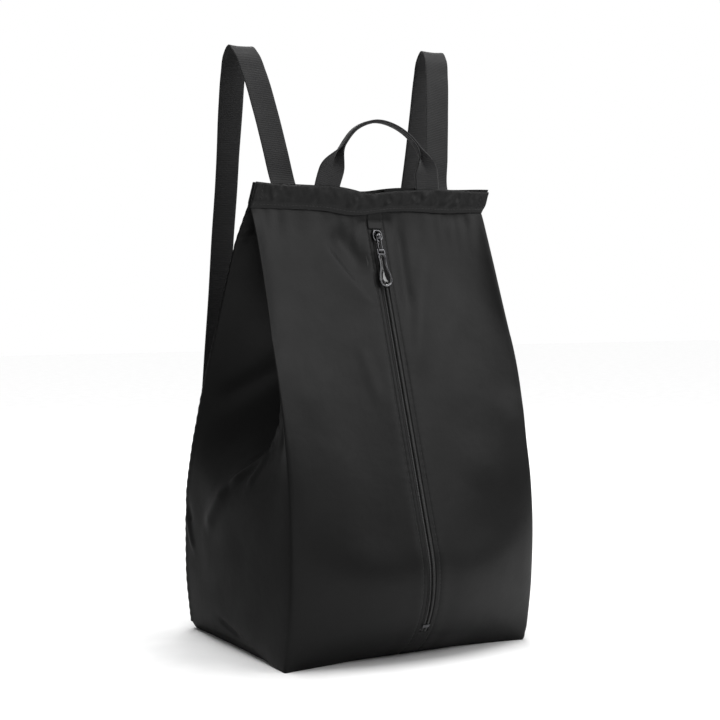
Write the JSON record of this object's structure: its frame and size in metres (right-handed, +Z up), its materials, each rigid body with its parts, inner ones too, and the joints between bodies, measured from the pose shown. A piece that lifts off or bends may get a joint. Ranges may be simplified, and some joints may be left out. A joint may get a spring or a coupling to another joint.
{
  "type": "shoe bag",
  "caption": "Soft wedge-shaped fabric shoe bag with a sewn top band, long front zip with a teardrop pull, webbing grab handle and backpack straps.",
  "frame": {"origin": "centre of the base rectangle where it rests on the floor", "axes": "+Z up from the base to the strap loops, -Y towards the zipped front, +X to the right seen from behind"},
  "size_m": [0.265, 0.2465, 0.556],
  "materials": {
    "body_nylon": "satin",
    "band_nylon": "satin",
    "webbing": "matte",
    "zip_tape_weave": "matte",
    "zip_coil_plastic": "satin",
    "slider_metal": "polished"
  },
  "bodies": {
    "bag": {"front_panel_left": "body_nylon", "front_panel_right": "body_nylon", "side_gusset_left": "body_nylon", "side_gusset_right": "body_nylon", "back_panel": "body_nylon", "base_panel": "body_nylon", "top_band_front": "band_nylon", "top_band_back": "band_nylon", "zip_tape_left": "zip_tape_weave", "zip_tape_right": "zip_tape_weave", "zip_coil_left": "zip_coil_plastic", "zip_coil_right": "zip_coil_plastic", "zip_top_tab": "body_nylon", "zip_bottom_tab": "body_nylon", "zip_bottom_stop": "slider_metal", "handle_end_left": "webbing", "handle_end_right": "webbing", "strap_top_end_left": "webbing", "strap_top_end_right": "webbing", "strap_base_tab_left": "webbing", "strap_base_tab_right": "webbing"},
    "slider": {"slider_body": "slider_metal", "slider_crown": "slider_metal"},
    "link": {"pull_link": "slider_metal"},
    "pull": {"pull_tab": "slider_metal"},
    "handle": {"grab_handle": "webbing"},
    "strap_left": {"shoulder_strap_left": "webbing"},
    "strap_right": {"shoulder_strap_right": "webbing"}
  },
  "joints": [
    {"name": "zip_slide", "type": "slide", "parent": "bag", "child": "slider", "axis": [0, -0.3165, -0.9486], "range_m": [0, 0.272]},
    {"name": "link_pivot", "type": "hinge", "parent": "slider", "child": "link", "pos_m": [0, -0.03866, 0.37514], "axis": [-1, 0, 0], "range_deg": [0, 100]},
    {"name": "pull_pivot", "type": "hinge", "parent": "link", "child": "pull", "pos_m": [0, -0.04293, 0.36234], "axis": [-1, 0, 0], "range_deg": [0, 60]},
    {"name": "handle_tip", "type": "hinge", "parent": "bag", "child": "handle", "pos_m": [0, -0.03205, 0.4215], "axis": [1, 0, 0], "range_deg": [-75, 75], "stiffness_Nm_per_rad": 0.02},
    {"name": "strap_left_swing", "type": "hinge", "parent": "bag", "child": "strap_left", "pos_m": [-0.082, -0.0244, 0.3982], "axis": [-0.0479, 0.325, -0.9445], "range_deg": [-20, 20], "stiffness_Nm_per_rad": 0.04},
    {"name": "strap_right_swing", "type": "hinge", "parent": "bag", "child": "strap_right", "pos_m": [0.082, -0.0244, 0.3982], "axis": [0.0479, 0.325, -0.9445], "range_deg": [-20, 20], "stiffness_Nm_per_rad": 0.04}
  ]
}
